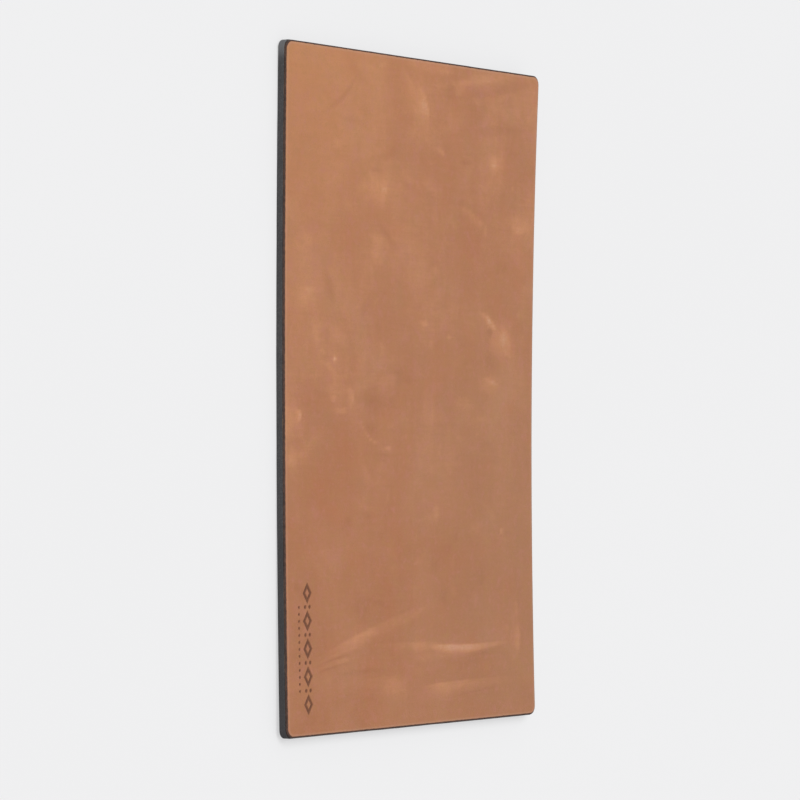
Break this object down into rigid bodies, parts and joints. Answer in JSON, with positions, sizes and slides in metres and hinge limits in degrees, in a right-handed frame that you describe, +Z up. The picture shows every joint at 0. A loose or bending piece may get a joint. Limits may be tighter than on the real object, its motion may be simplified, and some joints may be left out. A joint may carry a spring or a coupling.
{
  "type": "leather strop pad",
  "caption": "Flat rectangular bench strop: smooth tan leather face bonded to a dense charcoal backing pad, with rounded corners and a small stamped ornament.",
  "frame": {"origin": "middle of the underside, where the pad rests on the bench", "axes": "+Z up through the layers, out of the leather face; +Y along the pad's length, away from the stamped mark; +X across its width, away from the stamped mark"},
  "size_m": [0.2, 0.3, 0.0045],
  "materials": {
    "backing": "matt, dense and slightly grained",
    "glue": "thin flexible contact glue",
    "leather": "smooth waxy tan leather, satin, cloudy and scuffed"
  },
  "bodies": {
    "root": {"backing_pad": "backing", "glue_film": "glue", "leather_face": "leather"}
  },
  "joints": []
}
